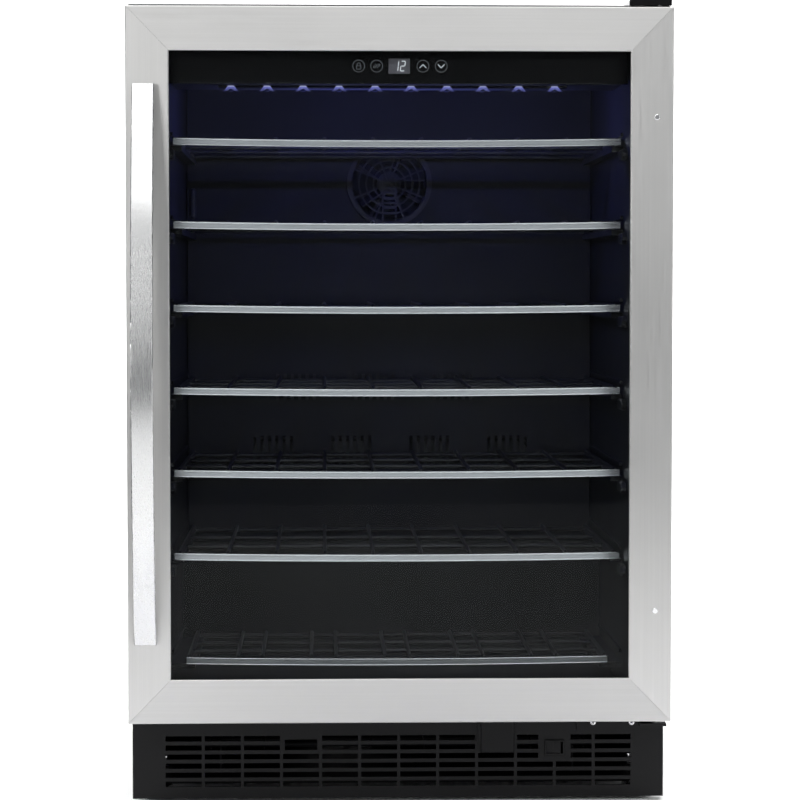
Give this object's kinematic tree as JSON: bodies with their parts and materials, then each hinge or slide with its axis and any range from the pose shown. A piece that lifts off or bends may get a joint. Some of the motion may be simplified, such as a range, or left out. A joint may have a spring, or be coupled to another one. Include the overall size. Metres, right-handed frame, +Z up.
{
  "type": "wine cooler",
  "caption": "Undercounter wine cooler: hinged glass door in a mitred brushed-steel frame, bowed pull handle, pull-out wire shelves with bright trims, touch panel, black kick grille.",
  "frame": {"origin": "on the floor, under the middle of the whole object's box", "axes": "+X to the right seen from the front, door faces -Y, +Z up"},
  "size_m": [0.59, 0.6, 0.885],
  "materials": {
    "black_shell": "satin black powder coat",
    "zinc_steel": "zinc-plated sheet",
    "foam": null,
    "black_liner": "moulded black plastic",
    "black_grille": "fine-grained moulded plastic",
    "gloss_black": "polished black",
    "stainless": "brushed stainless",
    "handle_metal": "fine satin",
    "trim_chrome": "polished edges, satin face",
    "black_wire": "coated wire",
    "door_glass": "clear tinted glass",
    "gasket_rubber": "soft magnetic seal",
    "dark_rubber": "moulded rubber",
    "fan_plastic": "moulded plastic",
    "coil_metal": "bare tube and plate",
    "compressor_paint": "thick black enamel",
    "display_lens": "smoked lens, lit numerals",
    "led_lens": "lit blue lens",
    "screw_steel": "plated steel"
  },
  "bodies": {
    "cabinet": {"outer_shell": "black_shell", "back_panel": "black_shell", "insulation_foam": "foam", "inner_liner": "black_liner", "base_frame": "zinc_steel", "kick_grille": "black_grille", "kick_blank_plate": "black_grille", "switch_housing": "gloss_black", "machine_cover": "zinc_steel", "cord_gland": "dark_rubber", "top_hinge_bracket": "black_shell", "top_hinge_cover": "gloss_black", "bottom_hinge_bracket": "black_shell", "hinge_pins": "screw_steel", "cabinet_screws": "screw_steel", "evaporator_cover": "black_liner", "fan_guard": "fan_plastic", "circulation_fan_frame": "fan_plastic", "evaporator": "coil_metal", "temperature_sensor": "fan_plastic", "control_housing": "black_liner", "control_fascia": "gloss_black", "display_module": "display_lens", "led_strip": "led_lens", "compressor": "compressor_paint", "drain_pan": "fan_plastic", "condenser_coil": "compressor_paint", "condenser_fan_shroud": "fan_plastic"},
    "door": {"door_frame_left": "stainless", "door_frame_right": "stainless", "door_frame_top": "stainless", "door_frame_bottom": "stainless", "outer_glass": "door_glass", "inner_glass": "door_glass", "door_liner": "black_liner", "door_gasket": "gasket_rubber", "handle_bar": "handle_metal", "handle_posts": "handle_metal", "hole_plugs": "trim_chrome"},
    "shelf_1": {"wire_shelf_1": "black_wire", "shelf_trim_1": "trim_chrome"},
    "shelf_2": {"wire_shelf_2": "black_wire", "shelf_trim_2": "trim_chrome"},
    "shelf_3": {"wire_shelf_3": "black_wire", "shelf_trim_3": "trim_chrome"},
    "shelf_4": {"wire_shelf_4": "black_wire", "shelf_trim_4": "trim_chrome"},
    "shelf_5": {"wire_shelf_5": "black_wire", "shelf_trim_5": "trim_chrome"},
    "shelf_6": {"wire_shelf_6": "black_wire", "shelf_trim_6": "trim_chrome"},
    "shelf_7": {"wire_shelf_7": "black_wire", "shelf_trim_7": "trim_chrome"},
    "circulation_fan": {"circulation_fan_blade": "fan_plastic"},
    "condenser_fan": {"condenser_fan_blade": "fan_plastic"},
    "power_rocker": {"rocker_button": "gloss_black"},
    "leveller_front_left": {"foot_front_left": "dark_rubber"},
    "leveller_front_right": {"foot_front_right": "dark_rubber"},
    "leveller_rear_left": {"foot_rear_left": "dark_rubber"},
    "leveller_rear_right": {"foot_rear_right": "dark_rubber"}
  },
  "joints": [
    {"name": "door_hinge", "type": "hinge", "parent": "cabinet", "child": "door", "pos_m": [0.283, -0.229, 0.485], "axis": [0, 0, 1], "range_deg": [0, 115]},
    {"name": "shelf_slide_1", "type": "slide", "parent": "cabinet", "child": "shelf_1", "axis": [0, -1, 0], "range_m": [0, 0.078]},
    {"name": "shelf_slide_2", "type": "slide", "parent": "cabinet", "child": "shelf_2", "axis": [0, -1, 0], "range_m": [0, 0.078]},
    {"name": "shelf_slide_3", "type": "slide", "parent": "cabinet", "child": "shelf_3", "axis": [0, -1, 0], "range_m": [0, 0.078]},
    {"name": "shelf_slide_4", "type": "slide", "parent": "cabinet", "child": "shelf_4", "axis": [0, -1, 0], "range_m": [0, 0.078]},
    {"name": "shelf_slide_5", "type": "slide", "parent": "cabinet", "child": "shelf_5", "axis": [0, -1, 0], "range_m": [0, 0.078]},
    {"name": "shelf_slide_6", "type": "slide", "parent": "cabinet", "child": "shelf_6", "axis": [0, -1, 0], "range_m": [0, 0.078]},
    {"name": "shelf_slide_7", "type": "slide", "parent": "cabinet", "child": "shelf_7", "axis": [0, -1, 0], "range_m": [0, 0.078]},
    {"name": "circulation_fan_spin", "type": "hinge", "parent": "cabinet", "child": "circulation_fan", "pos_m": [0, 0.215, 0.7], "axis": [0, -1, 0], "continuous": true},
    {"name": "condenser_fan_spin", "type": "hinge", "parent": "cabinet", "child": "condenser_fan", "pos_m": [-0.06, 0.108, 0.057], "axis": [0, -1, 0], "continuous": true},
    {"name": "power_rocker_tilt", "type": "hinge", "parent": "cabinet", "child": "power_rocker", "pos_m": [0.1735, -0.182, 0.059], "axis": [0, 0, 1], "range_deg": [0, 20]},
    {"name": "leveller_front_left_travel", "type": "slide", "parent": "cabinet", "child": "leveller_front_left", "axis": [0, 0, -1], "range_m": [0, 0.015]},
    {"name": "leveller_front_right_travel", "type": "slide", "parent": "cabinet", "child": "leveller_front_right", "axis": [0, 0, -1], "range_m": [0, 0.015]},
    {"name": "leveller_rear_left_travel", "type": "slide", "parent": "cabinet", "child": "leveller_rear_left", "axis": [0, 0, -1], "range_m": [0, 0.015]},
    {"name": "leveller_rear_right_travel", "type": "slide", "parent": "cabinet", "child": "leveller_rear_right", "axis": [0, 0, -1], "range_m": [0, 0.015]}
  ]
}
